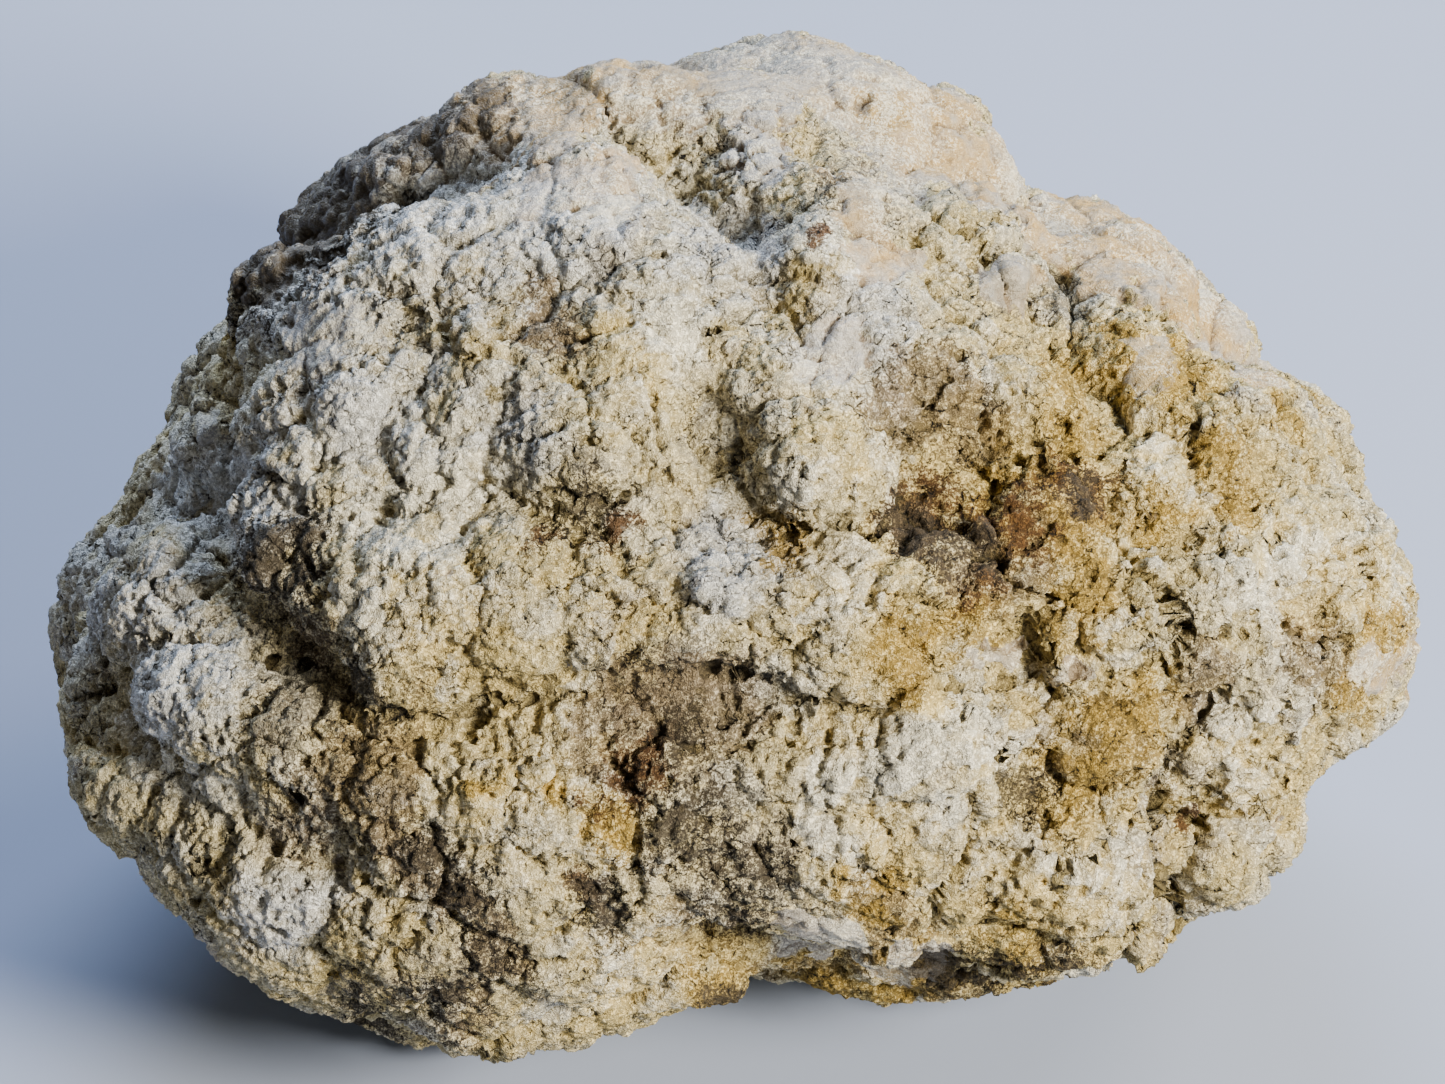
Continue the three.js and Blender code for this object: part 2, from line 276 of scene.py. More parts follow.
# Cracks and creases: half width, depth, line.
CRACKS = {
    FRONT: [
        (0.4, 0.6, [(-27, 15), (-29, 12.5), (-31, 9.5), (-32, 6.5), (-33.5, 4.5)]),
        (0.4, 0.6, [(-26, 8), (-30, 3.5), (-34, 3), (-38, 2.5)]),
        (0.4, 0.6, [(-17, 25), (-18.5, 27.5), (-20, 30)]),
        (0.5, 0.8, [(-57, 4.5), (-55, 4), (-54, 2), (-52, 3), (-49, 3.5)]),
        (0.4, 0.8, [(-54, -1), (-51, -1), (-49, -2.5), (-48, -2)]),
        (0.4, 0.8, [(-45, 5), (-42, 3.5), (-40, 3)]),
        (0.5, 1.0, [(-60, -9.7), (-55, -9.5), (-48, -9.5)]),
        (0.6, 1.2, [(-66, -15), (-64, -15.5), (-60, -15.5)]),
        (0.5, 0.9, [(-40, -13), (-40.5, -18), (-40, -22)]),
        (0.4, 0.8, [(-49, -18), (-46, -16.5), (-44, -14)]),
        (0.5, 1.0, [(-60, -28), (-56, -25), (-50, -21.5), (-48, -21)]),
        (0.5, 0.8, [(-48, -21), (-44, -26), (-40, -29)]),
        (0.4, 0.8, [(-47.5, -37.5), (-45.5, -35)]),
        (0.4, 0.8, [(-41, -44), (-38, -42)]),
        (0.4, 0.8, [(-37, -46), (-36, -44)]),
        (0.6, 1.2, [(3, 3), (6, 1.5), (13, 2), (15, 1), (17, 3), (20, 5)]),
        (0.5, 0.9, [(-20, 11), (-17.5, 11.2), (-15, 12)]),
        (0.4, 0.7, [(-15, 10.5), (-11, 9), (-9.5, 8)]),
        (0.5, 0.9, [(-7, 17), (-7, 12), (-5, 8), (-5, -0.5)]),
        (0.6, 1.0, [(-20, 6), (-15, 3.5), (-10, 4.5), (-5, 8)]),
        (0.5, 0.9, [(-3, 18.5), (-2, 20.5), (1, 22), (4, 23.5)]),
        (0.5, 0.6, [(25, 20), (22, 16), (19, 11)]),
        (0.9, 1.3, [(-42, -12), (-36, -17), (-30, -17.5), (-26, -17.5), (-21, -15.5), (-16, -15), (-10, -14.5)]),
        (0.8, 1.2, [(-10, -14.5), (-8, -12.5), (-5, -14), (0, -13), (4, -14), (8, -16.5), (15, -17)]),
        (0.6, 1.0, [(15, -17), (20, -14.5), (22, -13.5)]),
        (0.4, 0.8, [(-9, -30), (-8.5, -34), (-9, -38)]),
        (0.5, 0.9, [(40, -13.5), (44, -12), (48, -11.5)]),
        (0.5, 0.9, [(20, -15), (26.5, -14), (30, -13.5)]),
        (0.7, 1.6, [(50, -15), (47, -18), (45, -20), (43.5, -24), (42.5, -27), (44, -31), (44, -35), (45.5, -38),
                    (47, -39)]),
        (0.5, 0.9, [(33.5, 3), (32, 0.5), (28, -1), (25, -3.5)]),
        (0.4, 0.7, [(39, -3), (44, -3)]),
        (0.4, 0.6, [(43, -5.5), (45.5, -5.5)]),
        (0.6, 1.0, [(46.5, 25), (47.5, 16), (47, 10), (48, 2)]),
        (0.5, 0.8, [(27, 17), (30, 13), (32, 10)]),
        (0.8, 0.8, [(60, -3), (60.5, -10), (61, -16), (60, -20)]),
        (0.4, 0.6, [(2, 40), (1.5, 38), (1, 36)]),
        (0.5, 0.4, [(-9, 39), (-4, 36), (0, 35), (3, 33), (3, 28), (4, 20)]),
        (0.6, 1.1, [(13, 44), (15, 44)]),
        (0.7, 1.0, [(-49, 24.5), (-43, 27.5), (-40, 28.5), (-36, 31), (-32, 34), (-28, 36), (-22, 37.5)]),
    ],
    BACK: [
        (0.7, 1.6, [(-46, 14), (-38, 10), (-30, 4), (-24, -4)]),
        (0.6, 1.2, [(-10, 24), (-2, 18), (6, 10), (18, 6), (30, 8)]),
        (0.5, 0.9, [(18, 6), (22, -4), (20, -14)]),
        (0.7, 1.5, [(36, 18), (40, 8), (46, 2), (56, 0)]),
        (0.5, 0.9, [(-52, -6), (-44, -14), (-40, -24)]),
        (0.6, 1.2, [(-22, -20), (-10, -26), (2, -30), (14, -32)]),
        (0.4, 0.8, [(38, -16), (30, -22), (28, -32)]),
        (0.4, 0.9, [(-16, 40), (-12, 34), (-2, 32)]),
    ],
}

# Holes: x, y, radius, depth.
HOLES = {
    FRONT: [
        (-44, 22, 0.6, 0.7), (-49, 20.5, 0.5, 0.7), (-32.5, 5.5, 0.7, 0.8), (-34.5, 2, 0.6, 0.7),
        (-51.7, -1, 0.7, 1.0), (-45.5, -12.3, 1.0, 1.6), (-42.5, -12.7, 0.9, 1.4), (-62, -12.5, 0.6, 0.8),
        (-42, -22, 0.7, 1.0), (-52.5, -32.5, 1.1, 1.8), (-53, -35.5, 0.8, 1.2), (-49, -30, 0.6, 0.8),
        (-45, -39.5, 0.8, 0.8), (-31, -46.5, 0.6, 0.7), (-28, -47, 0.5, 0.7), (2, 8, 0.8, 1.3),
        (-20.3, 11, 0.6, 0.9), (0, -18.5, 0.8, 1.0), (6, -20, 0.7, 0.8), (-10, -40, 0.5, 0.6),
        (22, -35, 0.5, 0.6), (33, -28, 0.7, 1.0), (44.5, -34, 1.0, 1.6), (54, 0, 0.7, 1.0), (38, 3.5, 0.5, 0.7),
    ],
    BACK: [
        (-26, 2, 1.0, 1.4), (20, 2, 0.9, 1.2), (41, 8, 1.0, 1.4), (-8, -24, 0.9, 1.3), (-40, 22, 0.8, 1.0),
        (6, 34, 0.7, 1.0), (30, -26, 0.8, 1.2), (-14, 12, 0.6, 0.8), (52, -8, 0.7, 1.0),
    ],
}

# Kinds of surface: discs of x, y, radius. What is left over is cream crust.
WAXY = {
    FRONT: [
        (-47, 28, 4), (-42, 32, 4.5), (-37, 38, 5), (-30, 41, 5), (-24, 43.5, 5), (-17, 44.5, 5), (-10, 45.5, 5),
        (-3, 46.5, 4.5), (4, 46.5, 5), (11, 46.5, 5), (20, 42, 7), (26, 38, 4), (-17, 35.5, 3.4), (-12, 35, 4),
        (4, 38.5, 3.4), (14, 34, 3), (15, 30, 3), (17, 28, 2.2), (34, 33, 4.5), (39, 31, 5.5), (45, 28, 4.6),
        (50, 23, 4), (54, 17.5, 3), (29, 26.5, 2.4), (11.5, 19.5, 3.6), (-41, 20.5, 3.4), (-36.5, 22, 2.2),
        (7, -40, 2), (11, -40, 2), (17, -42, 2), (20.5, -42, 1.8), (67, -12, 3), (33.5, -12.5, 1.8),
        (27.5, -11.5, 1.8), (-52, 12, 2.2), (42, 17, 2.6),
    ],
    BACK: [(-10, -34, 12), (8, -38, 12), (26, -34, 10), (-28, -30, 9), (40, -26, 8), (-4, 4, 6), (30, 20, 6)],
}
BEADED = {
    FRONT: [
        (-47, 28, 5), (-42, 32, 5.5), (-37, 38, 6), (-30, 41, 6), (-24, 43.5, 5), (-8, 39, 5), (-3, 40, 5),
        (6, 41.5, 4), (2, -3, 6), (-4, -2, 4), (-9, 43, 5), (27, 33, 5), (22, 30, 4), (31, -12, 5),
    ],
    BACK: [(-14, -30, 14), (20, -36, 12), (36, -22, 8), (-4, 4, 7)],
}
CHALK = {
    FRONT: [
        (20, -21, 10), (12, -24, 6), (36, -34, 10), (28, -38, 7), (0, -30, 8), (8, -34, 7), (-10, -34, 6),
        (-18, -50, 6), (-46, -36, 9), (-53, -14, 8), (-58, -5, 7), (-64, -7, 6), (-60, -22, 8), (-50, -26, 7),
        (-45, -17, 6), (-51, 8, 7), (-44, -2, 6), (-32, -45, 7), (-33, -13, 6), (-22, -27, 5),
    ],
    BACK: [(-36, 8, 12), (44, -4, 10), (-8, 22, 9), (20, 34, 10), (-52, -10, 8)],
}
SANDY = {
    FRONT: [
        (-18, 23, 4), (-16, 20, 3), (-35, -28, 4), (-31, -32, 4), (-27, -36, 3), (-23, -41, 4), (-35, -14.5, 6),
        (-42, -25, 7), (-34, -22, 5), (-1, -17, 6), (-8, -16, 5), (1, -34, 6), (5, -36, 5), (27, -2, 6), (34, 4, 6),
        (-45, -2, 5), (-42, -8, 4), (-10, -20, 6), (-4, -24, 5), (-7, -34, 7), (-45, -18, 4), (-28, -46, 6),
        (48, -13, 4), (20, 15, 6), (26, 12, 4), (34, -25, 5), (22, -44, 6), (34, -43, 6), (8, -46, 6), (-5, 46, 5),
        (0, -34, 5), (39, -21, 5), (60, -12, 5), (15, -38, 5), (-12, 46, 5), (14, 35, 4),
    ],
    BACK: [(6, 8, 9), (-22, -8, 8), (32, 6, 6), (14, -18, 8), (-44, 24, 8)],
}
PITTED = {
    FRONT: [
        (-43, 21, 5), (-38, 23, 5), (-34, 26, 4), (-46, 16, 4), (-52, -6, 4), (-56, -8, 4), (36, -33, 8), (30, -38, 6),
        (42, -40, 5), (52, -24, 6), (55, -16, 6), (57, -4, 8), (62, 4, 6), (50, 2, 5), (46, -8, 6), (-50, -36, 6),
        (-45, -30, 5), (-38, -38, 6), (27, -20, 5), (18, -36, 5), (46, 20, 4), (51, 14, 4), (-58, -18, 5),
    ],
    BACK: [(-30, 14, 10), (38, -2, 9), (6, -6, 8), (-14, -34, 8), (26, 26, 8)],
}
DRAWN = {
    FRONT: [
        (-51, 7, 6), (-44, -2, 6), (36, -34, 8), (-13, -34, 6), (-6, -26, 6), (2, -33, 7), (12, -30, 6), (46, 12, 5),
        (-32, -33, 7), (-20, -22, 6), (8, -22, 6),
    ],
    BACK: [(-40, 0, 10), (30, 10, 10)],
}

# Stains, and patches of painted light and shade: discs of x, y, radius.
RUST = {
    FRONT: [
        (21.5, 2, 5), (18.5, 1, 3), (26, 1, 4), (30, 3, 3.4), (34.5, 6, 3), (25, -4, 3), (31, 0.5, 2.4), (23, 5, 3), (37, 5, 3),
        (-18, 2, 2.2), (-11, 0.5, 2.4), (-8.5, -23, 3.2), (-13.5, -27, 1.8), (-14, -35, 2), (46.5, -26.5, 1.4),
        (9.5, 30, 1.0), (-6, -20, 2),
    ],
    BACK: [(8, 10, 3.4), (-24, -6, 3), (34, 6, 3), (12, -20, 2.6), (-30, 20, 3)],
}
OCHRE = {
    FRONT: [
        (40, -20, 6), (37, -23, 4), (43.5, -15, 3), (34, -26, 3), (50, 9.5, 3.4), (56.5, 13.5, 2.6),
        (41.5, 16.5, 2.6), (43.5, 3, 3), (18.5, -12, 3.8), (20, -9, 3.4), (-17, -26, 2), (10, -46, 5),
        (0, -45.5, 5), (20, -46, 6), (32, -44, 5), (15, -38.5, 2.6), (36, 11, 4), (40, 20, 3), (28, 4, 6), (36, 3, 5), (35, -4, 5),
        (12, -33.5, 1.6), (18, -35, 1.8), (6, 1, 3), (35, 16, 4), (46, 16, 4), (26, -40, 3.4), (-23, -23, 1.6), (33, -20, 3), (52, 4, 3), (34, 0, 4),
        (24, -8, 4), (17.5, 42.5, 2.4), (66, -10, 4.4), (63, -16, 3), (30, -40, 4), (34, 6, 4), (38, 3, 3), (-12, -28, 3),
    ],
    BACK: [(0, 14, 5), (-30, -2, 5), (38, 2, 5), (22, -22, 5), (-14, 30, 5), (48, -16, 4)],
}
YELLOW = {
    FRONT: [
        (-19, -17.5, 5), (-25, 21, 3), (6, 41.5, 4), (-22, -50, 7), (28, 35, 4), (44, 5, 7), (12, 12, 5),
        (38, 14, 8), (-33, -20, 5), (17, -9, 8), (8, 24, 5), (-12, 20, 4), (-36, -46, 8), (-6, -45, 9), (30, -10, 8),
        (-26, -11, 7), (-10, -8, 6), (16, -35, 8), (33, 20, 6), (26, 8, 7), (29, -25, 7), (28, -36, 8), (42, -34, 9),
        (56, -24, 7), (36, -3, 7), (54, 8, 7), (62, -4, 5), (14, -14, 6), (22, -44, 9), (38, -42, 7), (20, -12, 6),
        (36, -22, 6), (-20, -24, 7), (52, 18, 6),
    ],
    BACK: [(-16, 8, 8), (18, 18, 7), (-38, -16, 7), (36, -12, 7), (2, -14, 7)],
}
OLIVE = {
    FRONT: [
        (-34, -14.5, 4), (19, 12.5, 3), (-17, 4.5, 3), (-12, 4.5, 2.4), (28, -26, 3.4), (38, -22, 4), (36, -24, 4), (10, -46, 4),
        (4, -15, 3.4), (15, -17, 2.4), (-25, 20, 1.8), (2, 8, 2.6), (28, -13.5, 2.4), (0, -19, 3), (40, -19, 5), (35, -4, 5),
        (4, 14, 3), (-26, -17, 3), (30, -12, 3),
    ],
    BACK: [(24, 6, 4), (-28, 24, 4), (-10, -26, 4)],
}
PEACH = {
    FRONT: [
        (-23, 44.5, 5), (-15, 45.5, 5), (-7, 46, 4), (-13, 35, 4.6), (19, 42, 6), (25, 40, 4.6), (14, 34, 3),
        (16, 30, 3), (36, 33, 5), (42, 30, 4.6), (48, 24, 4), (-47, 28, 4), (-42, 33, 4), (64, -9, 4),
        (-33, 40, 4), (68, -13, 3.4), (-56, -34, 4), (55, 15, 4), (34, 26, 4),
    ],
    BACK: [(-10, -36, 8), (16, -38, 8), (30, -30, 6), (-28, -30, 5), (30, 20, 4)],
}
GREY = {
    FRONT: [
        (-44, -1, 5), (-52, 12, 3), (-1, -26, 5), (2, -34, 6), (-13.5, 8, 2), (-11.5, -36, 2),
        (-32, -31, 4.4), (-27, -36, 4.4), (-23, -41, 4), (4, 38, 4), (-41, 20, 5), (-43, -8, 4), (-18, 22, 4),
        (-44, -17, 5), (-5, -15, 6), (13, 36, 5), (29, 26, 3), (46, -22, 2.4), (34, 24, 4), (-35, -46, 5),
        (-26, -45, 5), (-46, 28, 4), (-38, 34, 4), (-5, 45, 5),
    ],
    BACK: [(-20, -10, 7), (10, 4, 5), (30, -2, 5), (-44, 18, 6), (0, -30, 6)],
}
# Frost, partly pale frosting and partly a painted bluish highlight on the upper left: discs of x, y, radius.
FROST_AND_PAINTED_HIGHLIGHT = {
    FRONT: [
        (-28, 33, 10), (-40, 24, 8), (-15, 31, 8), (-36, 14, 8), (0, 29, 6), (-50, 5, 8), (12, 22, 6), (-60, -6, 7),
        (-54, -14, 6), (3, 38, 4), (2, -2, 6), (-44, -36, 5), (-22, 12, 5),
    ],
    BACK: [(-36, 8, 9), (44, -4, 8), (-8, 22, 8)],
}
# Smoky brown-grey, partly the crust's own colour and partly painted shade on the upper-left band and in a shaded
# valley: discs of x, y, radius.
SMOKY_AND_PAINTED_SHADE = {
    FRONT: [
        (-50, 25, 4), (-47, 28.5, 4), (-44, 31, 6), (-40, 35, 5.4), (-35, 39, 4.4), (-30, 41.5, 3.4), (-24, 44, 3),
        (-30, -30, 3), (-26, -36, 3), (-23, -42, 3), (-27, -46, 2.6), (-35, -47, 3), (1, -34, 5), (28, -46, 4), (36, 5, 3), (37, -46, 4),
        (-3, -29, 5), (24, -1, 4), (-44, -2, 4.4), (20, 1, 3.4), (-36, -14, 2.4),
        (0, -46, 3), (30, -25, 3.4), (-14, 4, 3), (-12, -36, 3), (-4, -20, 3), (22, -44, 3), (34, -43, 3),
    ],
    BACK: [(-20, -10, 7), (10, 4, 6), (30, -2, 5), (-44, 18, 6), (0, -30, 8), (26, -32, 6)],
}
# Paler crust, partly its own colour and partly painted light on lobes that lie in shade: discs of x, y, radius.
PALER_AND_PAINTED_LIGHT = {
    FRONT: [
        (18, -22, 9), (15, -33, 5), (-51, 7, 6), (64, -4, 4), (-46, -36, 5), (57, -3, 6), (-31, 30, 5), (-23, 37, 3.4), (-37, 26, 4), (-33, 3, 4), (41, 18, 4), (-43, 16, 5), (-45, 23, 4), (14, -5, 4),
        (-62, -6, 3), (52, -21, 4), (34, -36, 5), (12, 9, 4), (9, 32, 2.2), (11.5, 27, 2.2), (-53, -14, 4),
        (-8, -42, 5), (-27, 33, 4), (-16, 30, 4), (-6, 22, 5), (-30, -6, 6), (43, 6, 4), (-35, 12, 8), (-20, -27, 7), (-27, 5, 6), (-36, 4, 6), (-57, -20, 6),
    ],
    BACK: [(-36, 8, 8), (44, -4, 7), (-8, 22, 6), (20, 34, 7)],
}


# --- The stone's shape ---------------------------------------------------------------------------------------


class Stone:
    """The stone's mesh of four-sided faces while it is shaped. Points are in millimetres."""

    def __init__(self, mesh):
        self.mesh = mesh
        self.edges = self.read(mesh.edges, "vertices", 2, int)
        self.faces = self.read(mesh.loops, "vertex_index", 1, int).reshape(-1, 4)
        self.points = self.read(mesh.vertices, "co", 3) / MM
        self.ends = np.bincount(self.edges.ravel(), minlength=len(self.points))
        self.layers = {}

    def read(self, items, name, width, kind=float):
        values = np.empty(len(items) * width, np.int32 if kind is int else np.float32)
        items.foreach_get(name, values)
        return values.reshape(-1, width).astype(kind)

    def normals(self):
        self.mesh.vertices.foreach_set("co", (self.points * MM).astype(np.float32).ravel())
        self.mesh.update()
        return self.read(self.mesh.vertices, "normal", 3)

    def push(self, heights):
        """Moves every point out along its normal, fading to nothing at the flat spot."""
        fade = smooth_step(0, FLAT_SPOT_FADE, self.points[:, 2])
        self.points += self.normals() * (heights * fade)[:, None]
        self.points[:, 2] = np.maximum(self.points[:, 2], 0)

    def blur(self, values, rounds):
        """Averages values over neighbouring points again and again."""
        a, b = self.edges.T
        count = len(values)
        for _ in range(rounds):
            sums = [np.bincount(a, v[b], count) + np.bincount(b, v[a], count) for v in values.T]
            values = np.stack(sums, 1) / self.ends[:, None]
        return values

    def hollow(self, rounds):
        """How far each point lies below the surface round it."""
        return np.sum((self.blur(self.points, rounds) - self.points) * self.normals(), axis=1)

    def segment(self, name, own):
        """Some of the stone's faces as a piece of their own, closed by flat walls that meet in the middle."""
        shape = bmesh.new()
        shape.from_mesh(self.mesh)
        others = np.ones(len(self.faces), bool)
        others[own] = False
        bmesh.ops.delete(shape, geom=list(compress(shape.faces, others)), context="FACES")
        rim = [edge for edge in shape.edges if edge.is_boundary]
        walls = bmesh.ops.extrude_edge_only(shape, edges=rim)["geom"]
        ends = [part for part in walls if isinstance(part, bmesh.types.BMVert)]
        bmesh.ops.pointmerge(shape, verts=ends, merge_co=CENTRE * MM)
        for wall in ends[0].link_faces:
            wall.smooth = False
        mesh = bpy.data.meshes.new(name)
        shape.to_mesh(mesh)
        shape.free()
        return new_piece(name, mesh)

    def segments(self):
        """The whole stone in segments round its long axis."""
        self.normals()
        self.mesh.polygons.foreach_set("use_smooth", [True] * len(self.faces))
        for layer, values in self.layers.items():
            attribute = self.mesh.attributes.new(layer, "FLOAT", "POINT")
            attribute.data.foreach_set("value", values.astype(np.float32))
        middles = self.points[self.faces].mean(axis=1) - CENTRE
        order = np.argsort(np.arctan2(middles[:, 1], middles[:, 2]), kind="stable")
        shares = enumerate(np.array_split(order, SEGMENTS), 1)
        return [self.segment(f"geode_segment_{number}", own) for number, own in shares]


def new_piece(name, mesh):
    piece = bpy.data.objects.new(name, mesh)
    bpy.context.scene.collection.objects.link(piece)
    return piece


def apply_modifiers(piece):
    """Replaces a piece's mesh by what its modifiers make of it."""
    shaped = bpy.data.meshes.new_from_object(piece.evaluated_get(bpy.context.evaluated_depsgraph_get()))
    piece.modifiers.clear()
    piece.data = shaped
    return piece


def rounded_stone():
    """An even mesh of the CAD stone with its facets rounded off."""
    shape = bmesh.new()
    shape.from_mesh(frame["nodes"][NODE].data)
    bmesh.ops.remove_doubles(shape, verts=shape.verts, dist=0.001 * MM)
    mesh = bpy.data.meshes.new("geode_stone")
    shape.to_mesh(mesh)
    shape.free()
    stone = new_piece("geode_stone", mesh)
    rounding = stone.modifiers.new("rounding", "SUBSURF")
    rounding.levels = rounding.render_levels = 2
    even = stone.modifiers.new("even", "REMESH")
    even.mode = "VOXEL"
    even.voxel_size = VOXEL * MM
    soften = stone.modifiers.new("soften", "SMOOTH")
    soften.iterations = 6
    return apply_modifiers(stone)


def shape_stone(piece):
    """Raises the crust's nodules, granules and beads, and cuts its cracks, hollows, holes and pits."""
    stone = Stone(piece.data)
    facing = stone.normals()
    front = FRONT.share(stone.points, facing)
    shares = {FRONT: front, BACK: 1 - front}
    seen = {side: np.flatnonzero(share > 0) for side, share in shares.items()}
    ragged = wander(wander(stone.points, 6, 2.2), 1.8, 1.2, 9.0)
    laid = {side: side.places(ragged[own]) for side, own in seen.items()}

    def on_sides(layout):
        values = np.zeros(len(stone.points))
        for side, own in seen.items():
            values[own] += shares[side][own] * layout(side, own)
        return values

    def spread(discs, softness=0.35):
        return on_sides(lambda side, own: patches(laid[side], discs[side], softness))

    waxy, chalk, sandy, beaded, pitted, drawn = (
        spread(discs) for discs in (WAXY, CHALK, SANDY, BEADED, PITTED, DRAWN)
    )
    chalk = chalk * (1 - waxy)
    sandy = sandy * (1 - waxy) * (1 - 0.5 * chalk)
    pitted = pitted * (1 - waxy)
    crust = np.clip(1 - waxy - 0.6 * chalk, 0, 1)

    # broad swells, and the knobs and hollows laid out on them
    dome, brim, _ = nodules(stone.points, facing, 9.0)
    craggy = smooth_step(8, 32, stone.points[:, 0])
    proud = (0.5 + 0.5 * (1 - waxy)) * (1 + 0.75 * craggy)
    stone.push(0.7 * swell(stone.points, 15, 2) - 0.35 + (1.15 * dome + 0.6 * brim) * proud)
    swayed = wander(stone.points, 3, 0.5, 4.0)

    def lumps(side, own):
        places = side.places(swayed[own])
        height = np.zeros(len(places))
        for x, y, radius, rise in LUMPS[side]:
            share = np.clip(1 - (np.hypot(places[:, 0] - x, places[:, 1] - y) / radius) ** 2, 0, 1)
            height += rise * share**1.5
        return height

    stone.push(on_sides(lumps) * (1 + 0.4 * craggy))

    # nodules, beads of chalcedony, and granules
    start = stone.points.copy()
    facing = stone.normals()
    split = smooth_step(-0.45, 0.35, swell(start, 5, 2, 3.0))
    dome, brim, lump_tone = nodules(start, facing, 4.4, 5.0, 0.13)
    stone.push((0.31 * dome + 0.37 * brim * split) * (crust + 0.1 * chalk) * (1 + 0.5 * craggy))
    dome, brim, _ = nodules(start, facing, 3.2, 8.0, 0.3)
    stone.push((0.6 * dome + 0.36 * brim) * beaded)
    granular = (1 - 0.7 * waxy) * (1 - 0.5 * chalk) * smooth_step(-0.5, 0.3, swell(start, 8, 2, 6.0))
    dome, brim, granule_tone = nodules(start, facing, 2.0, 11.0, 0.2)
    stone.push((0.2 * dome + 0.3 * brim * split) * granular)
    dome, brim, grain_tone = nodules(start, facing, 1.1, 17.0, 0.3)
    stone.push((0.21 * dome + 0.2 * brim) * (1 - 0.6 * waxy))

    # crags, wrinkles and grit
    crag = swell(start, 2.2, 4, 13.0, 0.8)
    pock = -np.clip(swell(start, 2.2, 3, 23.0, 0.6) - 0.05, 0, 0.8)
    down = start - 0.72 * (start @ FRONT.up)[:, None] * FRONT.up
    wrinkle = swell(down, 1.1, 3, 31.0, 0.65)
    grit = swell(start, 0.9, 3, 91.0, 0.8)
    stone.push(0.26 * crag * (1 - 0.3 * waxy) + 1.1 * pock * pitted + (0.4 * drawn + 0.14) * wrinkle)
    stone.push(0.075 * grit * (1 - 0.5 * waxy))

    # cracks, holes and pits
    bent = wander(wander(start, 5, 1.2, 7.0), 1.6, 0.6, 2.0)

    def cuts(side, own):
        places = side.places(bent[own])
        depth = np.zeros(len(places))
        for half, deep, line in CRACKS[side]:
            distance, along = line_distance(places, line)
            taper = 0.35 + 0.65 * np.sin(math.pi * along) ** 0.7
            depth = np.maximum(depth, deep * taper * np.exp(-((distance / (half * taper)) ** 2)))
        for x, y, radius, deep in HOLES[side]:
            distance = np.hypot(places[:, 0] - x, places[:, 1] - y)
            depth = np.maximum(depth, deep * (1 - smooth_step(0.45 * radius, 1.2 * radius, distance)))
        return depth

    cut = on_sides(cuts)
    middle, _, pit_tone = cells(start, facing, 1.7, 21.0)
    pits = (1 - smooth_step(0.2, 0.45, middle)) * (pit_tone > 0.55)
    cut *= 0.75 + 0.5 * smooth_step(-0.4, 0.4, swell(start, 4, 2, 51.0))
    stone.push(-0.85 * cut - 0.5 * pits * np.clip(chalk + pitted + 0.25 * crust, 0, 1))

    stone.layers["gap"] = np.clip(cut / 1.2, 0, 1)
    stone.layers["hollow"] = stone.hollow(4)
    stone.layers["recess"] = stone.hollow(30)
    stone.layers["waxy"] = waxy
    stone.layers["sandy"] = sandy
    stone.layers["grit"] = smooth_step(-0.9, 0.9, grit)
    stone.layers["cloud"] = 0.5 + 0.25 * swell(start, 9, 4, 61.0, 0.6)
    stone.layers["mottle"] = 0.5 + 0.25 * swell(start, 5, 5, 71.0, 0.6)
    stone.layers["patchy"] = 0.5 + 0.25 * swell(start, 2.2, 3, 81.0, 0.55)
    stone.layers["lump_tone"] = lump_tone
    stone.layers["granule_tone"] = 0.5 * granule_tone + 0.5 * grain_tone
    ragged_edge = 0.4 * swell(start, 5, 3, 41.0, 0.6) + 0.2 * (granule_tone - 0.5) + 0.08 * (lump_tone - 0.5)
    for name, discs in STAINS_AND_PAINTED_LIGHT.items():
        amount = spread(discs, 0.9)
        stone.layers[name] = np.clip(1.15 * amount + ragged_edge * np.sqrt(amount), 0, 1)
    return stone


# Stain layers, some of which also carry painted light and shade.
STAINS_AND_PAINTED_LIGHT = {
    "rust": RUST,
    "ochre": OCHRE,
    "yellow": YELLOW,
    "olive": OLIVE,
    "peach": PEACH,
    "grey": GREY,
    "paler_and_painted_light": PALER_AND_PAINTED_LIGHT,
    "frost_and_painted_highlight": FROST_AND_PAINTED_HIGHLIGHT,
    "smoky_and_painted_shade": SMOKY_AND_PAINTED_SHADE,
}


# --- Finishes ------------------------------------------------------------------------------------------------


class Value:
    """A socket's number or colour, so that shader maths reads as plain expressions."""

    def __init__(self, finish, socket):
        self.finish, self.socket = finish, socket

    def maths(self, operation, first, second):
        return self.finish.maths(operation, first, second)

    def __add__(self, other):
        return self.maths("ADD", self, other)

    def __sub__(self, other):
        return self.maths("SUBTRACT", self, other)

    def __rsub__(self, other):
        return self.maths("SUBTRACT", other, self)

    def __mul__(self, other):
        return self.maths("MULTIPLY", self, other)

    __radd__ = __add__
    __rmul__ = __mul__


